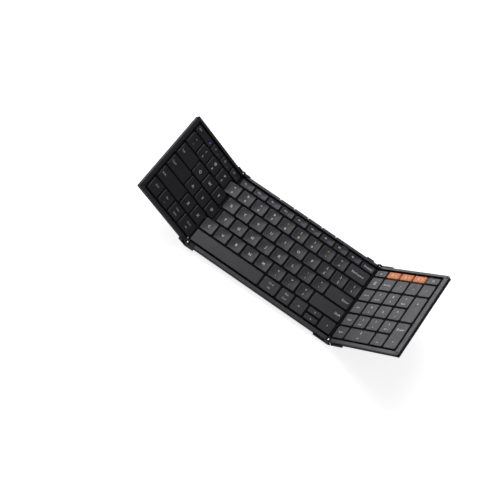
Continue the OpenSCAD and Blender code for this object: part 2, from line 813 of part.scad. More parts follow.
// A leaf's slot is 0 on the centre section and 2 on a wing. The centre section's front
// leaves and the wings' back leaves carry a drum. From lug on, a back leaf reaches the rim.
module leaf(front, slot, reach, head, lug) {
    y0 = leaf_y0(front);
    y1 = leaf_y1(front);
    k0 = slot_y(front, slot);
    low = under_z - leaf_drop;
    difference() {
        union() {
            difference() {
                union() {
                    along_y(y0, y1) polygon([[half_gap, low], [reach - leaf_slope, low],
                        [reach, low + leaf_drop], [reach, split_z], [head, split_z],
                        [head, rim_z], [half_gap, rim_z]]);
                    if (!front) box([lug, back_y + leaf_fit, split_z - over], [reach, y1, rim_z]);
                }
                translate([reach / 2, front ? y0 : y1, low]) rotate([45, 0, 0])
                    cube([reach + 2 * over, leaf_bevel * sqrt(2), leaf_bevel * sqrt(2)],
                        center = true);
                translate([0, y0 - over, axis_z]) rotate([-90, 0, 0])
                    cylinder(h = y1 - y0 + 2 * over, r = knuckle_r + 0.3);
                // Room for the other leaf's drum
                if (front == (slot == 2)) {
                    d0 = front ? y0 - over : back_in - over;
                    d1 = front ? slot_y(true, 1) : slot_y(false, 1);
                    translate([0, d0, axis_z]) rotate([-90, 0, 0])
                        cylinder(h = d1 - d0, r = drum_r + curve_clear, $fn = 64);
                }
            }
            intersection() {
                along_y(k0, k0 + knuckle_w(front))
                    polygon([[0, axis_z], [0, axis_z - knuckle_r - 1], [knuckle_r + 1,
                        axis_z - knuckle_r - 1], [knuckle_r + 1, axis_z - axis_lift]]);
                box([half_gap, y0, 0], [knuckle_r + 1, y1, axis_z]);
            }
            translate([0, k0, axis_z]) rotate([-90, 0, 0])
                cylinder(h = knuckle_w(front), r = knuckle_r);
            // The drum runs from the leaf's own side to 45 degrees under the other leaf
            if (front == (slot == 0)) intersection() {
                translate([0, k0, axis_z]) rotate([-90, 0, 0])
                    cylinder(h = knuckle_w(front), r = drum_r, $fn = 64);
                along_y(k0, k0 + knuckle_w(front))
                    polygon([[0, axis_z], [-axis_z, 0], [half_gap + over, 0], [half_gap + over, axis_z]]);
            }
        }
        translate([0, y0 - over, axis_z]) rotate([-90, 0, 0])
            cylinder(h = y1 - y0 + 2 * over, r = pin_r + pin_clear);
    }
}
module leaf_pair(slot, reach, head, lug) {
    leaf(true, slot, reach, head, lug);
    leaf(false, slot, reach, head, lug);
}
module left_leaves() {
    color(cover_colour) left_pose() translate([left_axis, 0, 0]) mirror([1, 0, 0])
        leaf_pair(2, left_leaf, left_leaf, knuckle_r + over);
}
module right_leaves() {
    color(cover_colour) right_pose() translate([right_axis, 0, 0])
        leaf_pair(2, right_leaf, right_head, knuckle_r + over);
}
module centre_leaves() {
    color(cover_colour) {
        translate([left_axis, 0, 0]) leaf_pair(0, left_leaf, left_leaf, knuckle_r + over);
        translate([right_axis, 0, 0]) mirror([1, 0, 0])
            leaf_pair(0, right_leaf, right_head, right_leaf - lug_l);
    }
}
// Pins with a collar between the two knuckles
module pin(front) {
    inset = 0.4;
    translate([0, leaf_y0(front) + inset, axis_z]) rotate([-90, 0, 0])
        cylinder(h = leaf_y1(front) - leaf_y0(front) - 2 * inset, r = pin_r);
    translate([0, slot_y(front, 1), axis_z]) rotate([-90, 0, 0])
        cylinder(h = knuckle_w(front), r = front ? front_collar_r : back_collar_r);
}
module hinge_pins() {
    color(steel_colour) for (x = [left_axis, right_axis], front = [true, false])
        translate([x, 0, 0]) pin(front);
}

// Feet and bumpers
module foot() {
    translate([0, 0, 0]) linear_extrude(foot_h) {
        square([foot_l - foot_w, foot_w], center = true);
        for (s = [-1, 1]) translate([s * (foot_l - foot_w) / 2, 0]) circle(d = foot_w);
    }
}
foot_inset = edge_r + 1.5;
module centre_feet() {
    x = right_axis - right_leaf - foot_l / 2 - 2;
    y = back_y - foot_inset - foot_w / 2;
    color(rubber_colour) for (sx = [-1, 1], sy = [-1, 1]) translate([sx * x, sy * y, 0]) foot();
}
module wing_pads(x_out, side) {
    y = back_y - foot_inset - foot_w / 2;
    for (sy = [-1, 1]) {
        translate([x_out - side * (foot_inset + foot_l / 2), sy * y, 0]) foot();
        translate([x_out - side * rim_left / 2, sy * (back_y - rim_back / 2 - bumper_r), rim_z])
            cylinder(h = axis_lift, r = bumper_r);
    }
}
module left_pads() {
    color(rubber_colour) left_pose() wing_pads(left_out, -1);
}
module right_pads() {
    color(rubber_colour) right_pose() wing_pads(right_out, 1);
}

// Electronics in the centre section
module battery_area(margin) {
    area([key_x(6) - margin, row_y(2) - margin],
        [key_x(6) + battery_l + margin, row_y(2) + battery_w + margin]);
}
module board_area(margin) {
    area([socket_x - board_l / 2 - margin, socket_y0 - board_w - margin],
        [socket_x + board_l / 2 + margin, socket_y0 + margin]);
}
module battery() {
    color("silver") translate([0, 0, floor_z]) linear_extrude(battery_t) battery_area(0);
}
socket_recess = 1.2;
socket_x = right_axis - socket_in;
socket_y1 = back_y - socket_recess;
socket_y0 = back_in - space_back + 0.3;
module controller_board() {
    color("darkgreen") translate([0, 0, floor_z]) linear_extrude(board_t) board_area(0);
}
// Outline of the socket, drawn out by a margin
module socket_outline(margin) {
    r = socket_h / 2 + margin;
    translate([socket_x, floor_z + socket_h / 2]) {
        square([socket_w - socket_h, 2 * r], center = true);
        for (s = [-1, 1]) translate([s * (socket_w - socket_h) / 2, 0]) circle(r);
    }
}
module socket_room() {
    along_y(socket_y0 - 0.1, back_y + over) intersection() {
        socket_outline(0.15);
        area([socket_x - socket_w, floor_z], [socket_x + socket_w, rim_z]);
    }
}
module charging_socket() {
    color(steel_colour) {
        difference() {
            along_y(socket_y0, socket_y1) socket_outline(0);
            along_y(socket_y0 + socket_t, socket_y1 + over) socket_outline(-socket_t);
        }
        translate([socket_x, (socket_y0 + socket_y1) / 2, floor_z + socket_h / 2])
            cube([socket_w - 2.3, socket_y1 - socket_y0 - 0.8, 0.7], center = true);
    }
}
// Indicator lights in the back rim
module light_holes(margin) {
    for (i = [-2:2])
        translate([key_x(9.27) + i * light_pitch, back_y - light_in, split_z + frame_h / 2])
            cube([light_l + 2 * margin, light_w + 2 * margin, frame_h + 2 * margin], center = true);
}
module indicator_lights() {
    color("white") light_holes(0);
}

left_frame();
left_cover();
left_deck();
left_membrane();
left_scissors();
left_domes();
left_pads();
left_leaves();
left_caps(left_function);  // left_function_keys
left_caps(left_number);  // left_number_keys
left_caps(left_upper);  // left_upper_keys
left_caps(left_home);  // left_home_keys
left_caps(left_lower);  // left_lower_keys
left_caps(left_modifier);  // left_modifier_keys
centre_frame();
centre_cover();
centre_deck();
centre_membrane();
centre_scissors();
centre_domes();
centre_feet();
centre_leaves();
hinge_pins();
battery();
controller_board();
charging_socket();
indicator_lights();
centre_caps(centre_function);  // centre_function_keys
centre_caps(part_of(centre_row4, 0, 8));  // centre_number_keys
centre_caps([centre_row4[9]]);  // backspace_key
centre_caps(centre_row3);  // centre_upper_keys
centre_caps(part_of(centre_row2, 0, 7));  // centre_home_keys
centre_caps([centre_row2[8]]);  // enter_key
centre_caps(part_of(centre_row1, 0, 7));  // centre_lower_keys
centre_caps([centre_row1[8]]);  // right_shift_key
centre_caps([centre_row0[0]]);  // space_key
centre_caps(part_of(centre_row0, 1, 2));  // centre_modifier_keys
centre_caps([centre_row0[3]]);  // left_arrow_key
centre_caps([up_arrow]);  // up_arrow_key
centre_caps([down_arrow]);  // down_arrow_key
centre_caps([centre_row0[5]]);  // right_arrow_key
right_frame();
right_cover();
right_deck();
right_membrane();
right_scissors();
right_domes();
right_pads();
right_leaves();
right_caps([pad_function[0], pad_function[4]]);  // pad_function_keys
right_caps([pad_function[1]], orange_colour);  // device_key_1
right_caps([pad_function[2]], orange_colour);  // device_key_2
right_caps([pad_function[3]], orange_colour);  // device_key_3
right_caps(pad_top);  // pad_top_keys
right_caps(pad_upper);  // pad_upper_keys
right_caps(pad_plus);  // pad_plus_key
right_caps(pad_middle);  // pad_middle_keys
right_caps(pad_lower);  // pad_lower_keys
right_caps(pad_enter);  // pad_enter_key
right_caps(pad_bottom);  // pad_bottom_keys
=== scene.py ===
import bpy
import bmesh
import json
import math
from mathutils import Matrix, Vector
from mathutils.bvhtree import BVHTree

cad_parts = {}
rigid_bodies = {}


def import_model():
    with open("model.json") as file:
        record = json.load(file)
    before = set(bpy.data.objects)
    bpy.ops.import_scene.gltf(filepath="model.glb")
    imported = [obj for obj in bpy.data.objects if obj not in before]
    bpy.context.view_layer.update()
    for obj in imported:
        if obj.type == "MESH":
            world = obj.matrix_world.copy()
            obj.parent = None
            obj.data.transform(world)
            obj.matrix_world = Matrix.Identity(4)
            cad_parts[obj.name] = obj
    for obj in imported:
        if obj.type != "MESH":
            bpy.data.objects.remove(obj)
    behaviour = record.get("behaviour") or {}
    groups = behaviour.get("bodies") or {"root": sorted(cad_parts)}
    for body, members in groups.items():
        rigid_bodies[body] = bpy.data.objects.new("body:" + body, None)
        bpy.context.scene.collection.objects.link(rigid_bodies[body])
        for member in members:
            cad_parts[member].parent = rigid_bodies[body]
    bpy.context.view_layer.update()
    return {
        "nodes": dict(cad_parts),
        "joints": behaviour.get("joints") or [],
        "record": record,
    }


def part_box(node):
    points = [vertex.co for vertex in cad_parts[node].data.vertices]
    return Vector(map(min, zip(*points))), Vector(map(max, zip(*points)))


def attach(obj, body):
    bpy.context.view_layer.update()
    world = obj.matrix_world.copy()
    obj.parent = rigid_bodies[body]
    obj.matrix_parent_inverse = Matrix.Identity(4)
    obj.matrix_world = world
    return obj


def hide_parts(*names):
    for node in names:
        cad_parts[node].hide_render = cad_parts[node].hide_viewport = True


MM = 0.001
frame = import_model()
nodes = frame["nodes"]
scene = bpy.context.scene

# Camera: place in metres and turn as a rotation vector, solved from the corners of keys
CAMERA_AT = Vector((0.12707, -0.63223, 1.24217))
CAMERA_TURN = Vector((-3.4364, -1.1207, -0.0491))
LENS = 87.1      # focal length in mm
SENSOR = 36      # width in mm

cam_data = bpy.data.cameras.new("camera")
cam_data.sensor_width = SENSOR
cam_data.lens = LENS
cam_data.clip_start = 0.05
cam_data.clip_end = 50
cam = bpy.data.objects.new("camera", cam_data)
scene.collection.objects.link(cam)
to_camera = Matrix.Rotation(CAMERA_TURN.length, 3, CAMERA_TURN.normalized())
# The solved camera looks along its +Z with +Y down, and Blender's along its -Z with +Y up
flip = Matrix(((1, 0, 0), (0, -1, 0), (0, 0, -1)))
cam.matrix_world = Matrix.Translation(CAMERA_AT) @ (to_camera.transposed() @ flip).to_4x4()
scene.camera = cam


# Sections: keys are made on a section that lies flat, and PLACE takes them to where it stands
SECTION_OF_BODY = {"left_wing": "left", "centre_section": "centre", "right_wing": "right"}
joints = {j["name"]: j for j in frame["joints"]}


def stand(fold):
    """The turn about a fold's pins that takes its wing from flat to where it stands."""
    joint = joints[fold]
    pin = Vector(joint["pos_m"])
    angle = -math.radians(joint["range_deg"][0])
    turn = Matrix.Rotation(angle, 4, Vector(joint["axis"]))
    return Matrix.Translation(pin) @ turn @ Matrix.Translation(-pin)


PLACE = {"left": stand("left_fold"), "centre": Matrix.Identity(4), "right": stand("right_fold")}


def side_of(node):
    """The section that a node belongs to: a key's by what its slide hangs on."""
    for joint in frame["joints"]:
        if joint["child"] == node:
            return SECTION_OF_BODY[joint["parent"]]
    head = node.split("_")[0]
    return head if head in PLACE else "centre"


# Shader nodes
class Nodes:
    """A tree of shader nodes. An output is written as (node, name or number)."""

    def __init__(self, tree):
        self.tree = tree
        tree.nodes.clear()

    def feed(self, node, socket, value):
        """Gives an input a number, a colour or an output."""
        if isinstance(value, tuple) and isinstance(value[0], bpy.types.Node):
            source, name = value
            self.tree.links.new(source.outputs[name], node.inputs[socket])
        else:
            node.inputs[socket].default_value = value

    def add(self, kind, inputs=None, **settings):
        """A new node with its settings, and its inputs by name or number."""
        node = self.tree.nodes.new(kind)
        for name, value in settings.items():
            setattr(node, name, value)
        for socket, value in (inputs or {}).items():
            self.feed(node, socket, value)
        return node

    def noise(self, at, scale, detail, roughness, distortion=0.0):
        return self.add("ShaderNodeTexNoise", {
            "Vector": at, "Scale": scale, "Detail": detail, "Roughness": roughness,
            "Distortion": distortion}), "Fac"

    def map_range(self, value, from_lo, from_hi, to_lo, to_hi):
        return self.add("ShaderNodeMapRange", {
            "Value": value, "From Min": from_lo, "From Max": from_hi, "To Min": to_lo,
            "To Max": to_hi}), "Result"

    def math(self, operation, a, b=0.0):
        return self.add("ShaderNodeMath", {0: a, 1: b}, operation=operation), "Value"

    def mix(self, share, a, b):
        """A mix of two colours; the numbers are those of the node's colour sockets."""
        return self.add("ShaderNodeMix", {0: share, 6: a, 7: b}, data_type="RGBA"), 2

    def ramp(self, value, lo, hi, dark, light):
        node = self.add("ShaderNodeValToRGB", {"Fac": value})
        first, last = node.color_ramp.elements
        first.position = lo
        first.color = (*dark, 1)
        last.position = hi
        last.color = (*light, 1)
        return node, "Color"

    def bump(self, height, strength, distance):
        return self.add("ShaderNodeBump", {
            "Strength": strength, "Distance": distance, "Height": height}), "Normal"


def new_material(name):
    """An empty material and its tree of nodes."""
    material = bpy.data.materials.new(name)
    material.use_nodes = True
    return material, Nodes(material.node_tree)


# What the materials share. A noise's scale is per metre, and its values run from 0 to 1.
SPAN = (0.3, 0.7)             # values between which most of a noise lies
MOTTLE_SCALE = 160.0          # mottling of plastic
SMEAR_SCALE = 45.0            # finger smears
SMEARED = (0.45, 0.7)         # noise from clean to fully smeared
RUBBED = (0.51, 0.58)         # pointiness from whole to fully rubbed
RUBBED_GAIN = 2.2             # how many times lighter a rubbed edge is
RUBBED_LIFT = 0.01            # and what is added to that
GRAIN_STRENGTH = 0.35
PAINTED_SHADE_FADE = 0.35              # height in mm over which a deep part fades into painted shade and turns dull
PAINTED_SHADE_SHARE = 0.3              # share of the dark colour that the painted shade leaves there
DEEP_ROUGH = 0.9              # least roughness there
STREAK_SCALE = 700.0          # streaks of drawn metal
STREAK_STRENGTH = 0.2
STREAK_DEPTH = 0.01           # in mm
TARNISHED = (0.25, 0.75)      # noise from tarnished to clean
TARNISH = 0.75                # share of the colour that tarnish leaves
SMOOTHER = 0.07               # how far a metal's roughness goes below the value given
ROUGHER = 0.1                 # and above it


def plastic(name, dark, light, rough, spread=0.05, grain=5200, depth=0.03, edge=0.25,
            edge_colour=None, specular=0.5, smear=0.0, painted_shade_below=None, glow=None):
    """Moulded plastic: fine spark-eroded grain, faint mottling, rubbed edges, finger smears.
    Given a section and a height in mm for painted shade, what lies lower in that section is dull
    and darkened: painted shade that stands in for the shade in gaps and recesses.
    Where glow is (colour, strength), it shines."""
    material, g = new_material(name)
    here = (g.add("ShaderNodeTexCoord"), "Object")
    mottle = g.noise(here, MOTTLE_SCALE, detail=4.0, roughness=0.6)
    pointed = (g.add("ShaderNodeNewGeometry"), "Pointiness")
    rubbed = g.map_range(pointed, *RUBBED, 0.0, edge)
    bare = edge_colour or [min(1, c * RUBBED_GAIN + RUBBED_LIFT) for c in light]
    colour = g.mix(rubbed, g.ramp(mottle, *SPAN, dark, light), (*bare, 1))
    roughness = g.map_range(mottle, *SPAN, rough - spread, rough + spread)
    if smear > 0:
        finger = g.noise(here, SMEAR_SCALE, detail=3.0, roughness=0.7, distortion=1.2)
        roughness = g.math("ADD", roughness, g.map_range(finger, *SMEARED, 0.0, smear))
    # painted shade: below the given height the colour is darkened as if shaded, and the roughness
    # raised
    if painted_shade_below:
        section, height = painted_shade_below
        up = (PLACE[section].to_3x3() @ Vector((0, 0, 1))).normalized()
        level = (PLACE[section] @ Vector((0, 0, height * MM))).dot(up)
        along = g.add("ShaderNodeVectorMath", {0: here, 1: up}, operation="DOT_PRODUCT")
        out_of_painted_shade = g.map_range((along, "Value"), level - PAINTED_SHADE_FADE * MM, level, 0.0, 1.0)
        colour = g.mix(out_of_painted_shade, (*[c * PAINTED_SHADE_SHARE for c in dark], 1), colour)
        dull = g.map_range(out_of_painted_shade, 0.0, 1.0, DEEP_ROUGH, 0.0)
        roughness = g.math("MAXIMUM", roughness, dull)
    fine = g.noise(here, float(grain), detail=2.0, roughness=0.5)
    bsdf = g.add("ShaderNodeBsdfPrincipled", {
        "Base Color": colour, "Roughness": roughness, "Specular IOR Level": specular,
        "Normal": g.bump(fine, GRAIN_STRENGTH, depth * MM)})
    if glow:
        g.feed(bsdf, "Emission Color", (*glow[0], 1))
        g.feed(bsdf, "Emission Strength", glow[1])
    g.add("ShaderNodeOutputMaterial", {"Surface": (bsdf, "BSDF")})
    return material


def metal(name, colour, rough, streak):
    """Drawn or turned steel, with fine streaks and a little tarnish."""
    material, g = new_material(name)
    here = (g.add("ShaderNodeTexCoord"), "Object")
    drawn = g.add("ShaderNodeMapping", {"Vector": here, "Scale": streak})
    streaks = g.noise((drawn, "Vector"), STREAK_SCALE, detail=5.0, roughness=0.6)
    bsdf = g.add("ShaderNodeBsdfPrincipled", {
        "Metallic": 1.0,
        "Base Color": g.ramp(streaks, *TARNISHED, [c * TARNISH for c in colour], colour),
        "Roughness": g.map_range(streaks, *SPAN, rough - SMOOTHER, rough + ROUGHER),
        "Normal": g.bump(streaks, STREAK_STRENGTH, STREAK_DEPTH * MM)})
    g.add("ShaderNodeOutputMaterial", {"Surface": (bsdf, "BSDF")})
    return material


# Materials by the record's slots. A plastic is given by a dark and a light colour and its
# roughness, a metal by its colour and roughness.
MAT = {
    "device_key": plastic("device_key_plastic", (0.7, 0.185, 0.034), (0.76, 0.21, 0.042), 0.42,
                          spread=0.04, grain=5200, depth=0.012, edge=0.3,
                          edge_colour=(0.8, 0.3, 0.09), smear=0.05),
    "cover": plastic("cover_plastic", (0.010, 0.010, 0.011), (0.014, 0.014, 0.015), 0.5,
                     spread=0.05, grain=3400, depth=0.025, edge=0.5, specular=0.14, smear=0.05),
    "deck": plastic("deck_plastic", (0.004, 0.004, 0.0042), (0.006, 0.006, 0.0063), 0.6,
                    grain=3000, depth=0.03, edge=0.1),
    "membrane": plastic("membrane_film", (0.16, 0.17, 0.19), (0.22, 0.23, 0.25), 0.35,
                        grain=1500, depth=0.005, edge=0.1),
    "links": plastic("link_plastic", (0.05, 0.05, 0.052), (0.07, 0.07, 0.072), 0.45,
                     grain=4200, depth=0.02, edge=0.2),
    "domes": plastic("dome_silicone", (0.45, 0.45, 0.43), (0.55, 0.55, 0.53), 0.5,
                     grain=2600, depth=0.02, edge=0.1),
    "feet": plastic("foot_rubber", (0.009, 0.009, 0.009), (0.014, 0.014, 0.014), 0.72,
                    spread=0.08, grain=1900, depth=0.06, edge=0.35),
    "battery": plastic("battery_foil", (0.42, 0.42, 0.44), (0.52, 0.52, 0.54), 0.35,
                       grain=900, depth=0.05, edge=0.2),
    "board": plastic("board_mask", (0.006, 0.05, 0.02), (0.01, 0.07, 0.03), 0.35,
                     grain=1200, depth=0.02, edge=0.2),
    "pin": metal("pin_steel", (0.82, 0.82, 0.84), 0.25, streak=(1, 12, 1)),
    "socket": metal("socket_steel", (0.55, 0.55, 0.57), 0.32, streak=(1, 1, 8)),
    "light": plastic("light_pipe", (0.55, 0.57, 0.6), (0.65, 0.67, 0.7), 0.2,
                     grain=2000, depth=0.01, edge=0.1, glow=((0.85, 0.92, 1.0), 0.6)),
    "print": plastic("print_ink", (0.66, 0.66, 0.67), (0.74, 0.74, 0.75), 0.5,
                     grain=5000, depth=0.005, edge=0.05),
    "print_blue": plastic("print_blue_ink", (0.06, 0.13, 0.72), (0.09, 0.17, 0.8), 0.5,
                          grain=5000, depth=0.005, edge=0.05),
    "print_white": plastic("print_white_ink", (0.78, 0.76, 0.74), (0.86, 0.84, 0.82), 0.5,
                           grain=5000, depth=0.005, edge=0.05),
}

# Keys and rims are dull below their tops and darkened there with painted shade, so each section has
# its own pair of materials
BLACK = ((0.0105, 0.0105, 0.0112), (0.0135, 0.0135, 0.0145))
RIM_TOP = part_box("centre_frame")[1][2] / MM
KEY_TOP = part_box("space_key")[1][2] / MM
RIM_SHADE_DROP = 0.6       # how far below its top a rim turns dull and takes painted shade, in mm
KEY_SHADE_DROP = 0.3       # and a key
for side in PLACE:
    MAT["key", side] = plastic("key_plastic_painted_shade_" + side, *BLACK, 0.36, spread=0.03, grain=5600,
                               depth=0.012, edge=0.35, smear=0.06,
                               painted_shade_below=(side, KEY_TOP - KEY_SHADE_DROP))
    MAT["rim", side] = plastic("rim_plastic_painted_shade_" + side, *BLACK, 0.36, spread=0.04, grain=4200,
                               depth=0.015, edge=0.5, smear=0.07,
                               painted_shade_below=(side, RIM_TOP - RIM_SHADE_DROP))

slot_of = {s["node"]: s["material_slot"] for s in frame["record"]["subparts"]}


def material_of(node, side):
    """The material of a node's slot: that of its section, where sections have their own."""
    return MAT.get((slot_of[node], side)) or MAT[slot_of[node]]


for name, ob in nodes.items():
    ob.data.materials.clear()
    ob.data.materials.append(material_of(name, side_of(name)))


# Keycaps as the CAD model has them, in mm
CAP_MIN = 1.0        # a solid that is lower than this is no keycap
ROW_STEP = 6         # keycaps whose fronts round to the same multiple of this are one row


def islands(node, place):
    """Boxes of a node's separate solids, in the flat section and in mm: rows from the back to
    the front, and from left to right in each row."""
    mesh = nodes[node].data
    to_flat = place.inverted()
    points = [to_flat @ v.co for v in mesh.vertices]
    root = list(range(len(points)))

    def find(a):
        while root[a] != a:
            root[a] = root[root[a]]
            a = root[a]
        return a

    first_at = {}
    for i, p in enumerate(points):
        spot = (round(p.x, 5), round(p.y, 5), round(p.z, 5))
        root[find(i)] = find(first_at.setdefault(spot, i))
    for face in mesh.polygons:
        for corner in face.vertices[1:]:
            root[find(corner)] = find(face.vertices[0])
    solids = {}
    for i, p in enumerate(points):
        solids.setdefault(find(i), []).append(p)
    boxes = []
    for solid in solids.values():
        lo = [min(p[k] for p in solid) / MM for k in range(3)]
        hi = [max(p[k] for p in solid) / MM for k in range(3)]
        if hi[2] - lo[2] > CAP_MIN:
            boxes.append((lo, hi))
    boxes.sort(key=lambda box: (-round(box[0][1] / ROW_STEP), box[0][0]))
    return boxes


# Shape of a keycap, in mm
CAP_R = 1.9               # corner radius at the foot
LEAN = 0.6                # how far the sides lean in
TOP_R = 0.4               # height of the rounding between side and top
STEP_IN = 0.12            # step in at the foot of the rounding
ROUND_IN = 0.36           # how far the rounding goes in
ROUND_STEPS = 4
ROUND_TIGHTER = 0.25      # how much the rounding takes off the corner radius
TOP_TIGHTER = 0.35        # how much is off at the top's edge
SCOOP_TIGHTER = 0.5       # and at the scoop's edge
LIP = 0.25                # from the rounding to the scoop
SCOOP = 0.42              # depth of the scoop
SCOOP_RINGS = (0.0, 0.06, 0.16, 0.3, 0.46, 0.64, 0.82)     # shares of the way to its middle
RING_TIGHTER = 0.3        # share of the corner radius that is lost on that way
STRAIGHT = 0.02           # what a ring's radius leaves of half its side
MIN_R = 0.05              # smallest radius of a ring
WALL = 1.6                # thickness of the skirt at its foot
HOLLOW = 0.9              # height of the hollow below
HOLLOW_R = 0.2            # corner radius of the hollow
CORNER = 7                # points round a corner
SIDE = 5                  # points between two corners


def ring(box, inset, r):
    """Points of a rounded rectangle, drawn in from a box by an inset: counter-clockwise from
    the upper end of its right side, each corner's points and then those of the next side."""
    x0, x1, y0, y1 = box[0] + inset, box[1] - inset, box[2] + inset, box[3] - inset
    corners = ((x1 - r, y1 - r, 0), (x0 + r, y1 - r, 90), (x0 + r, y0 + r, 180),
               (x1 - r, y0 + r, 270))
    points = []
    for k, (cx, cy, start) in enumerate(corners):
        for i in range(CORNER):
            a = math.radians(start + 90 * i / (CORNER - 1))
            points.append((cx + r * math.cos(a), cy + r * math.sin(a)))
        next_x, next_y, next_start = corners[(k + 1) % 4]
        a = math.radians(next_start)
        end_x, end_y = next_x + r * math.cos(a), next_y + r * math.sin(a)
        last_x, last_y = points[-1]
        for i in range(1, SIDE + 1):
            t = i / (SIDE + 1)
            points.append((last_x + (end_x - last_x) * t, last_y + (end_y - last_y) * t))
    return points


def scoop_at(x, y, box, depth):
    """How far a top that is scooped to a depth within a box lies below a flat one."""
    x0, x1, y0, y1 = box
    tx = min(1, abs(x - (x0 + x1) / 2) / ((x1 - x0) / 2))
    ty = min(1, abs(y - (y0 + y1) / 2) / ((y1 - y0) / 2))
    return depth * (1 - tx ** 2) * (1 - ty ** 3)


def add_ring(bm, box, inset, r, z, depth=0.0):
    """Vertices of a ring at a height, lowered where the box is scooped to a depth."""
    return [bm.verts.new((x * MM, y * MM, (z - scoop_at(x, y, box, depth)) * MM))
            for x, y in ring(box, inset, r)]


def join(bm, a, b):
    """A band of faces between two rings."""
    n = len(a)
    for i in range(n):
        bm.faces.new((a[i], a[(i + 1) % n], b[(i + 1) % n], b[i]))


def add_cap(bm, lo, hi, top, depth):
    """One keycap: a skirt that leans in, a rounding, a top that is scooped to a depth, and a
    hollow below. Returns the scoop's box."""
    foot = (lo[0], hi[0], lo[1], hi[1])
    z0 = lo[2]
    side_top = top - TOP_R
    lean = LEAN * (side_top - z0) / (top - z0)
    corner_r = CAP_R - lean
    rings = [add_ring(bm, foot, 0, CAP_R, z0), add_ring(bm, foot, lean, corner_r, side_top)]
    for i in range(1, ROUND_STEPS):
        a = math.radians(90 * i / ROUND_STEPS)
        inset = lean + STEP_IN + ROUND_IN * (1 - math.cos(a))
        r = corner_r - ROUND_TIGHTER * i / ROUND_STEPS
        rings.append(add_ring(bm, foot, inset, r, side_top + TOP_R * math.sin(a)))
    inset = lean + STEP_IN + ROUND_IN
    rings.append(add_ring(bm, foot, inset, corner_r - TOP_TIGHTER, top))
    for a, b in zip(rings, rings[1:]):
        join(bm, a, b)

    # the hollow gives room to the dome and the links when the key is down
    rim = add_ring(bm, foot, WALL, HOLLOW_R, z0)
    roof = add_ring(bm, foot, WALL, HOLLOW_R, z0 + HOLLOW)
    join(bm, rim, rings[0])
    join(bm, roof, rim)
    bm.faces.new(list(reversed(roof)))

    # rings that follow the scoop down towards its middle
    inset += LIP
    box = (foot[0] + inset, foot[1] - inset, foot[2] + inset, foot[3] - inset)
    half = min(box[1] - box[0], box[3] - box[2]) / 2
    last = rings[-1]
    for share in SCOOP_RINGS:
        inset = share * half
        r = min(corner_r - SCOOP_TIGHTER, half - inset - STRAIGHT) * (1 - RING_TIGHTER * share)
        inner = add_ring(bm, box, inset, max(MIN_R, r), top, depth)
        join(bm, last, inner)
        last = inner

    # the middle: one strip of quads that follows the scoop, and a face at either end
    quarter = CORNER + SIDE
    upper = last[CORNER - 1:quarter + 1]
    lower = last[2 * quarter + CORNER - 1:3 * quarter + 1][::-1]
    for i in range(len(upper) - 1):
        bm.faces.new((upper[i], upper[i + 1], lower[i + 1], lower[i]))
    bm.faces.new(last[quarter:2 * quarter + CORNER])
    bm.faces.new(last[3 * quarter:] + last[:CORNER])
    return box


# The raised bar for the fingers on F, J and the pad's 5, in mm
BARS = {("centre_home_keys", 0), ("centre_home_keys", 3), ("pad_middle_keys", 2)}
BAR_RISE = 0.2       # how far a solid with a bar stands above its cap's top
BAR_GAP = 0.01       # from the bar's top to the solid's
BAR_SINK = 0.05      # how far the bar reaches into the cap
BAR_HALF = 1.7       # half its length
BAR_FRONT = 3.25     # from the key's front to the bar's
BAR_BACK = 3.85      # and to its back
BAR_SEAT = 3.6       # and to where the cap's height is taken
BAR_R = 0.15         # corner radius at the foot
BAR_TOP_R = 0.09     # and at the top
BAR_LEAN = 0.08      # how far its sides lean in


def add_bar(bm, lo, hi, top, box, depth):
    """The bar on a cap whose top is scooped to a depth within a box."""
    cx = (lo[0] + hi[0]) / 2
    seat = top - scoop_at(cx, lo[1] + BAR_SEAT, box, depth)
    bar = (cx - BAR_HALF, cx + BAR_HALF, lo[1] + BAR_FRONT, lo[1] + BAR_BACK)
    foot = add_ring(bm, bar, 0, BAR_R, seat - BAR_SINK)
    roof = add_ring(bm, bar, BAR_LEAN, BAR_TOP_R, hi[2] - BAR_GAP)
    join(bm, foot, roof)
    bm.faces.new(roof)


def new_object(name, bm, material):
    """Turns a bmesh into an object."""
    mesh = bpy.data.meshes.new(name)
    bm.to_mesh(mesh)
    bm.free()
    mesh.materials.append(material)
    ob = bpy.data.objects.new(name, mesh)
    scene.collection.objects.link(ob)
    return ob


# Shapes of legends: each is flat, as (points, faces), in mm from its middle
STROKE = 0.32        # width of most strokes
THICK = 0.4          # width of some
ROUND = 16           # steps of a round stroke or a disc
LETTER_STEPS = 3     # steps of a curve in a letter
WORD_SIZE = 3.0      # size at which a word is set before it gets its length


def outline_of(text, size, weight):
    """Letters whose strokes grow by a weight. A size below 0 is minus the word's length."""
    if size < 0:
        points, faces = outline_of(text, WORD_SIZE, weight)
        k = -size / (max(p[0] for p in points) - min(p[0] for p in points))
        return [(x * k, y * k) for x, y in points], faces
    curve = bpy.data.curves.new("letters", "FONT")
    curve.body = text
    curve.size = size
    curve.align_x = "CENTER"
    curve.align_y = "CENTER"
    curve.resolution_u = LETTER_STEPS
    curve.offset = weight
    ob = bpy.data.objects.new("letters", curve)
    scene.collection.objects.link(ob)
    graph = bpy.context.evaluated_depsgraph_get()
    mesh = bpy.data.meshes.new_from_object(ob.evaluated_get(graph))
    points = [(v.co.x, v.co.y) for v in mesh.vertices]
    faces = [list(p.vertices) for p in mesh.polygons]
    bpy.data.objects.remove(ob)
    bpy.data.curves.remove(curve)
    bpy.data.meshes.remove(mesh)
    cx = (min(p[0] for p in points) + max(p[0] for p in points)) / 2
    cy = (min(p[1] for p in points) + max(p[1] for p in points)) / 2
    return [(x - cx, y - cy) for x, y in points], faces


def poly(*points):
    return list(points), [list(range(len(points)))]


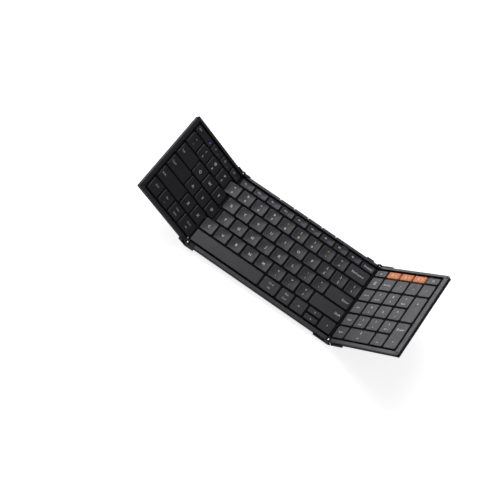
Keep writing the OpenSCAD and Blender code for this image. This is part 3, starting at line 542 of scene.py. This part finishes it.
def stroke(x0, y0, x1, y1, w=STROKE):
    dx, dy = x1 - x0, y1 - y0
    length = math.hypot(dx, dy)
    nx, ny = -dy / length * w / 2, dx / length * w / 2
    return poly((x0 + nx, y0 + ny), (x0 - nx, y0 - ny), (x1 - nx, y1 - ny), (x1 + nx, y1 + ny))


def disc(cx, cy, r):
    angles = [2 * math.pi * i / ROUND for i in range(ROUND)]
    return poly(*[(cx + r * math.cos(a), cy + r * math.sin(a)) for a in angles])


def arc(cx, cy, r, start, end):
    """A round stroke from one angle to another."""
    points, faces = [], []
    for i in range(ROUND + 1):
        a = math.radians(start + (end - start) * i / ROUND)
        for radius in (r - STROKE / 2, r + STROKE / 2):
            points.append((cx + radius * math.cos(a), cy + radius * math.sin(a)))
        if i:
            faces.append([2 * i - 2, 2 * i - 1, 2 * i + 1, 2 * i])
    return points, faces


def merge(*shapes):
    points, faces = [], []
    for shape_points, shape_faces in shapes:
        start = len(points)
        points += shape_points
        faces += [[i + start for i in face] for face in shape_faces]
    return points, faces


def sun(middle, r0, r1, w):
    """A middle with eight rays."""
    directions = [(math.cos(a), math.sin(a)) for a in [math.pi * i / 4 for i in range(8)]]
    return merge(middle, *[stroke(r0 * x, r0 * y, r1 * x, r1 * y, w) for x, y in directions])


def screen(x0, x1, y):
    """The edges of a rectangle that reaches as far above the middle as below it."""
    over = 0.1
    return merge(stroke(x0 - over, y, x1 + over, y), stroke(x0 - over, -y, x1 + over, -y),
                 stroke(x0, y, x0, -y), stroke(x1, y, x1, -y))


def speaker(x):
    return poly((x - 1.4, -0.5), (x - 0.7, -0.5), (x + 0.1, -1.2), (x + 0.1, 1.2),
                (x - 0.7, 0.5), (x - 1.4, 0.5))


def arrow(dx, dy):
    """An arrow in the direction given."""
    barbs = [stroke(dx, dy, 0.2 * dx + s * dy, 0.2 * dy + s * dx) for s in (-0.7, 0.7)]
    return merge(stroke(-0.9 * dx, -0.9 * dy, 0.9 * dx, 0.9 * dy), *barbs)


ICON = {
    "@sun": sun(disc(0, 0, 0.6), 0.95, 1.45, 0.25),
    "@sun_big": sun(arc(0, 0, 0.7, 0, 360), 1.15, 1.75, 0.28),
    "@windows": merge(screen(-1.4, 0.1, 1), stroke(0.7, 0.9, 1.5, 0.9),
                      stroke(0.7, -0.9, 1.5, -0.9), stroke(1.4, 0.9, 1.4, -0.9)),
    "@find": merge(arc(-0.3, 0.3, 0.9, 0, 360), stroke(0.35, -0.35, 1.3, -1.3, THICK)),
    "@back": merge(poly((-1.6, 0), (-0.2, 0.9), (-0.2, -0.9)),
                   poly((-0.2, 0), (1.2, 0.9), (1.2, -0.9))),
    "@play": merge(poly((-1.5, 1), (0.1, 0), (-1.5, -1)), stroke(0.6, 1, 0.6, -1, THICK),
                   stroke(1.3, 1, 1.3, -1, THICK)),
    "@next": merge(poly((1.6, 0), (0.2, -0.9), (0.2, 0.9)),
                   poly((0.2, 0), (-1.2, -0.9), (-1.2, 0.9))),
    "@mute": merge(speaker(0), stroke(0.6, 0.6, 1.5, -0.6), stroke(0.6, -0.6, 1.5, 0.6)),
    "@quiet": merge(speaker(0), arc(0, 0, 0.9, -50, 50)),
    "@loud": merge(speaker(-0.2), arc(-0.2, 0, 0.9, -50, 50), arc(-0.2, 0, 1.55, -50, 50)),
    "@lock": merge(poly((-0.9, -1.1), (0.9, -1.1), (0.9, 0.2), (-0.9, 0.2)),
                   arc(0, 0.2, 0.65, 0, 180)),
    "@calc": merge(screen(-1.2, 1.2, 1.7), stroke(-0.7, 0.9, 0.7, 0.9, 0.6),
                   *[disc(x, y, 0.22) for x in (-0.6, 0, 0.6) for y in (0, -0.6, -1.2)]),
    "@power": merge(arc(0, 0, 1.2, 120, 420), stroke(0, 0.3, 0, 1.6)),
    "@camera": merge(screen(-1.5, 1.5, 1), arc(0, 0, 0.5, 0, 360)),
    "@up": arrow(0, 1),
    "@down": arrow(0, -1),
    "@left": arrow(-1, 0),
    "@right": arrow(1, 0),
    "@dot": disc(0, 0, 1.25),
    "@wave": merge(disc(-1.3, 0, 0.3), arc(-1.3, 0, 0.95, -50, 50),
                   arc(-1.3, 0, 1.65, -50, 50)),
}


# Legends of the keys
def mark(shape, size, x=0, y=0, ink="print"):
    """Letters, or the name of an icon. The size is the letters' in mm, minus a word's length
    in mm, or an icon's scale. The place is from the key's middle, and "L" or "R" for x puts
    the mark at that end of the key."""
    return ink, shape, size, x, y


def letter(text):
    return [mark(text, 4.7)]


def pair(upper, lower):
    return [mark(upper, 3.7, 0, 3.5), mark(lower, 3.9, 0, -3.5)]


def stack(upper, lower):
    return [mark(upper, 3.1, 0, 3.2), mark(lower, 3.1, 0, -2.6)]


def function_key(icon, number):
    return [mark(icon, 1.0, -3.0, 1.0), mark("F" + number, 2.7, 3.1, -1.5, "print_blue")]


def pad(digit, lower):
    return [mark(digit, 4.2, 0, 3.6), mark(lower, 0.9 if lower in ICON else 2.7, 0, -3.9)]


def device(number):
    return [mark("@wave", 1.45, -1.3, 0.3, "print_white"),
            mark(number, 4.2, 3.4, 0.2, "print_white")]


# A list of marks for each keycap of a node, in the order of islands()
LEGENDS = {
    "left_function_keys": [[mark("Esc", 3.4, "L", 1.2), mark("@dot", 1.0, "R", -0.6, "print_blue")],
                           function_key("@sun", "1"), function_key("@sun_big", "2"),
                           function_key("@windows", "3")],
    "left_number_keys": [pair("~", "`"), pair("!", "1"), pair("@", "2"), pair("#", "3")],
    "left_upper_keys": [[mark("Tab", 3.4, "L")], letter("Q"), letter("W"), letter("E")],
    "left_home_keys": [[mark("Caps", 3.4, "L")], letter("A"), letter("S"), letter("D")],
    "left_lower_keys": [[mark("Shift", 3.4, "L")], letter("Z"), letter("X")],
    "left_modifier_keys": [[mark("Ctrl", 3.3, 0, 2.4)],
                           [mark("Fn", 3.6, 0, 2.4), mark("@lock", 0.9, 0, -3.4, "print_blue")],
                           stack("Opt", "Win"), stack("Cmd", "Alt")],
    "centre_function_keys": [function_key("@find", "4"), function_key("@camera", "5"),
                             function_key("@back", "6"), function_key("@play", "7"),
                             function_key("@next", "8"), function_key("@mute", "9"),
                             function_key("@quiet", "10"), function_key("@loud", "11"),
                             function_key("@lock", "12"), [mark("Delete", -10.2)]],
    "centre_number_keys": [pair("$", "4"), pair("%", "5"), pair("^", "6"), pair("&", "7"),
                           pair("*", "8"), pair("(", "9"), pair(")", "0"), pair("_", "-"),
                           pair("+", "=")],
    "backspace_key": [[mark("Backspace", -16)]],
    "centre_upper_keys": [letter(c) for c in "RTYUIOP"] + [pair("{", "["), pair("}", "]"),
                                                          pair("|", "\\")],
    "centre_home_keys": [letter(c) for c in "FGHJKL"] + [pair(":", ";"), pair("\"", "'")],
    "enter_key": [[mark("Enter", -8.8, "R")]],
    "centre_lower_keys": [letter(c) for c in "CVBNM"] + [pair("<", ","), pair(">", "."),
                                                        pair("?", "/")],
    "right_shift_key": [[mark("Shift", -7.4, "R")]],
    "space_key": [[]],
    "centre_modifier_keys": [stack("Cmd", "Alt"), stack("Opt", "Ctrl")],
    "left_arrow_key": [[mark("@left", 1.3)]],
    "up_arrow_key": [[mark("@up", 1.1)]],
    "down_arrow_key": [[mark("@down", 1.1)]],
    "right_arrow_key": [[mark("@right", 1.3)]],
    "pad_function_keys": [[mark("@lock", 1.1)], [mark("@power", 1.1)]],
    "device_key_1": [device("1")],
    "device_key_2": [device("2")],
    "device_key_3": [device("3")],
    "pad_top_keys": [[mark("@calc", 1.15)], [mark("NumLk", -10.6)], letter("/"), letter("*"),
                     letter("-")],
    "pad_upper_keys": [[mark("Home", 3.0)], pad("7", "Home"), pad("8", "@up"), pad("9", "PgUp")],
    "pad_plus_key": [[mark("+", 5.0, 0, 8.5)]],
    "pad_middle_keys": [[mark("End", 3.0)], pad("4", "@left"), [mark("5", 4.2)],
                        pad("6", "@right")],
    "pad_lower_keys": [[mark("PgUp", 3.0)], pad("1", "End"), pad("2", "@down"),
                       pad("3", "PgDn")],
    "pad_enter_key": [[mark("Enter", -9.6, 0, 8.5), mark("=", 4.2, 0, -9)]],
    "pad_bottom_keys": [[mark("PgDn", 3.0)], pad("0", "Ins"), pad(".", "Del")],
}

# Keys without a scoop: these nodes, all that are as wide as WIDE, and the whole right section
FLAT = {"backspace_key", "enter_key", "right_shift_key", "space_key", "left_arrow_key",
        "up_arrow_key", "down_arrow_key", "right_arrow_key", "centre_modifier_keys"}
WIDE = 21.0

# Printing, in mm
DICE = 0.7           # size of the pieces that a legend is cut into, to follow the cap
INK = 0.02           # how far a legend stands out from the cap
MARGIN = 2.6         # from the key's edge to a legend at its end
WEIGHT = {"left": 0.14, "centre": 0.12, "right": 0.0}      # how far single letters' strokes grow
ABOVE = 1.0          # height over the cap from which its top is sought
DOWN = Vector((0, 0, -1))
glyphs = {}


def diced(points, faces):
    """A flat shape cut along a grid, so that it can bend."""
    bm = bmesh.new()
    verts = [bm.verts.new((x, y, 0)) for x, y in points]
    for face in faces:
        bm.faces.new([verts[k] for k in face])
    for axis in (0, 1):
        lo = min(p[axis] for p in points)
        hi = max(p[axis] for p in points)
        normal = Vector((1 - axis, axis, 0))
        for i in range(1, math.ceil((hi - lo) / DICE)):
            bmesh.ops.bisect_plane(bm, geom=bm.verts[:] + bm.edges[:] + bm.faces[:],
                                   plane_co=normal * (lo + i * DICE), plane_no=normal)
    bm.verts.index_update()
    cut = [(v.co.x, v.co.y) for v in bm.verts], [[v.index for v in f.verts] for f in bm.faces]
    bm.free()
    return cut


def glyph(shape, size, weight):
    """The pieces of a mark, made once for each shape, size and weight."""
    if (shape, size, weight) not in glyphs:
        if shape in ICON:
            points, faces = ICON[shape]
            points = [(x * size, y * size) for x, y in points]
        else:
            points, faces = outline_of(shape, size, weight)
        glyphs[shape, size, weight] = diced(points, faces)
    return glyphs[shape, size, weight]


def lay(bm, pieces, x, y, top, surface):
    """Adds the pieces of a mark to a bmesh, laid on the caps with its middle at x, y."""
    points, faces = pieces
    verts = []
    for px, py in points:
        above = Vector(((px + x) * MM, (py + y) * MM, (top + ABOVE) * MM))
        hit = surface.ray_cast(above, DOWN)[0]
        verts.append(bm.verts.new((above.x, above.y, hit.z + INK * MM)))
    for face in faces:
        bm.faces.new([verts[k] for k in face])


# Keycaps and their legends
WELD = 1e-7          # in metres
CREASE = 40          # degrees at which an edge stays sharp


def make_caps(node, boxes, side):
    """A bmesh of a node's keycaps, and the height of each one's top."""
    bm = bmesh.new()
    tops = []
    for i, (lo, hi) in enumerate(boxes):
        barred = (node, i) in BARS
        scooped = side != "right" and node not in FLAT and hi[0] - lo[0] < WIDE
        top = hi[2] - (BAR_RISE if barred else 0)
        depth = SCOOP if scooped else 0.0
        scoop = add_cap(bm, lo, hi, top, depth)
        if barred:
            add_bar(bm, lo, hi, top, scoop, depth)
        tops.append(top)
    return bm, tops


def make_prints(legends, boxes, tops, weight, surface):
    """The legends of a node's keycaps: a bmesh for each ink."""
    prints = {}
    for marks, (lo, hi), top in zip(legends, boxes, tops):
        for ink, shape, size, x, y in marks:
            pieces = glyph(shape, size, weight if len(shape) < 2 else 0.0)
            half = max(abs(p[0]) for p in pieces[0])
            if x == "L":
                mark_x = lo[0] + MARGIN + half
            elif x == "R":
                mark_x = hi[0] - MARGIN - half
            else:
                mark_x = (lo[0] + hi[0]) / 2 + x
            mark_y = (lo[1] + hi[1]) / 2 + y
            if ink not in prints:
                prints[ink] = bmesh.new()
            lay(prints[ink], pieces, mark_x, mark_y, top, surface)
    return prints


for node, legends in LEGENDS.items():
    side = side_of(node)
    place = PLACE[side]
    boxes = islands(node, place)
    if len(boxes) != len(legends):
        raise ValueError("%s has %d caps and %d legends" % (node, len(boxes), len(legends)))
    bm, tops = make_caps(node, boxes, side)
    prints = make_prints(legends, boxes, tops, WEIGHT[side], BVHTree.FromBMesh(bm))
    bmesh.ops.remove_doubles(bm, verts=bm.verts, dist=WELD)
    bmesh.ops.recalc_face_normals(bm, faces=bm.faces)
    bm.transform(place)
    caps = new_object("caps_" + node, bm, material_of(node, side))
    caps.data.polygons.foreach_set("use_smooth", [True] * len(caps.data.polygons))
    caps.data.set_sharp_from_angle(angle=math.radians(CREASE))
    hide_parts(node)
    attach(caps, node)
    for ink, bm in prints.items():
        bm.normal_update()
        bmesh.ops.reverse_faces(bm, faces=[f for f in bm.faces if f.normal.z < 0])
        bm.transform(place)
        ob = new_object(ink + "_" + node, bm, MAT[ink])
        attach(ob, node)


# Floor, in metres: to rays that show it, it glows bright, but for where it lies in deep shadow,
# which is a painted shadow that takes the glow away
FLOOR = ((-3.2, -2.2), (0.45, -2.2), (0.45, 2.6), (-3.2, 2.6))
FLOOR_Z = -0.00005
GLOW = 0.8
GLOSSY = 0.7         # share of the glow that reflections show
SOFT = 0.001         # width of the edge of a painted shadow
# Painted shadow, where the floor has no glow, under the centre section and under the left fold: x
# from, x to, y from, y to
PAINTED_SHADOW = ((-0.1, 0.1005, -0.0575, 0.062), (-0.1055, -0.095, 0.022, 0.0435),
         (-0.1055, -0.095, -0.042, 0.002))

floor_material, g = new_material("floor")
rays = g.add("ShaderNodeLightPath")
reflected = g.math("MULTIPLY", (rays, "Is Glossy Ray"), GLOSSY)
seen = g.math("MAXIMUM", (rays, "Is Camera Ray"), reflected)
seen = g.math("MAXIMUM", seen, (rays, "Is Transmission Ray"))
spot = g.add("ShaderNodeSeparateXYZ", {"Vector": (g.add("ShaderNodeTexCoord"), "Object")})
# painted shadow: in each rectangle the floor's glow fades out
out_of_painted_shadow = 1.0
for x0, x1, y0, y1 in PAINTED_SHADOW:
    outside = 0.0
    for axis, lo, hi in (("X", x0, x1), ("Y", y0, y1)):
        half = (hi - lo) / 2
        away = g.math("ABSOLUTE", g.math("SUBTRACT", (spot, axis), (lo + hi) / 2))
        past = g.map_range(away, half - SOFT, half, 0.0, 1.0)
        outside = g.math("MAXIMUM", outside, past)
    out_of_painted_shadow = g.math("MINIMUM", out_of_painted_shadow, outside)
strength = g.math("MULTIPLY", g.math("MULTIPLY", seen, out_of_painted_shadow), GLOW)
paint = g.add("ShaderNodeBsdfPrincipled", {
    "Base Color": (0.8, 0.8, 0.8, 1), "Roughness": 0.9, "Specular IOR Level": 0.1})
glow = g.add("ShaderNodeEmission", {"Strength": strength})
both = g.add("ShaderNodeAddShader", {0: (paint, 0), 1: (glow, 0)})
g.add("ShaderNodeOutputMaterial", {"Surface": (both, 0)})

bm = bmesh.new()
bm.faces.new([bm.verts.new((x, y, 0)) for x, y in FLOOR])
floor = new_object("floor", bm, floor_material)
floor.location = (0, 0, FLOOR_Z)


# Light: a soft sky that is dimmer towards the front, white to the camera, and three panels
SKY = (0.95, 0.945, 1.0)
SKY_Y = (-0.45, 0.1)          # Y of the directions between which the sky gets brighter
SKY_LEVEL = (0.09, 0.26)      # its level at either end

world = bpy.data.worlds.new("world")
scene.world = world
world.use_nodes = True
g = Nodes(world.node_tree)
towards = g.add("ShaderNodeSeparateXYZ", {"Vector": (g.add("ShaderNodeTexCoord"), "Generated")})
sky = g.add("ShaderNodeBackground", {
    "Color": (*SKY, 1), "Strength": g.map_range((towards, "Y"), *SKY_Y, *SKY_LEVEL)})
white = g.add("ShaderNodeBackground", {"Color": (1, 1, 1, 1), "Strength": 1.0})
rays = g.add("ShaderNodeLightPath")
pick = g.add("ShaderNodeMixShader", {0: (rays, "Is Camera Ray"), 1: (sky, 0), 2: (white, 0)})
g.add("ShaderNodeOutputWorld", {"Surface": (pick, 0)})


def panel(name, at, look, w, h, radiance):
    """A soft box at a place, turned to a point, that shines at the level given."""
    lamp = bpy.data.lights.new(name, "AREA")
    lamp.shape = "RECTANGLE"
    lamp.size = w
    lamp.size_y = h
    lamp.energy = radiance * math.pi * w * h
    lamp.color = SKY
    ob = bpy.data.objects.new(name, lamp)
    scene.collection.objects.link(ob)
    ob.location = at
    ob.rotation_mode = "QUATERNION"
    ob.rotation_quaternion = (Vector(look) - Vector(at)).to_track_quat("-Z", "Y")


panel("panel_top", at=(-1.14, 1.31, 1.82), look=(0, 0, 0), w=1.75, h=1.5, radiance=4.1)
panel("panel_left", at=(-2.1, 0.95, 0.24), look=(0, 0, 0.05), w=2.2, h=0.48, radiance=5.3)
panel("panel_front", at=(0.3, -2.2, 1.3), look=(0, 0, 0), w=1.2, h=0.8, radiance=0.8)

scene.view_settings.view_transform = "Standard"
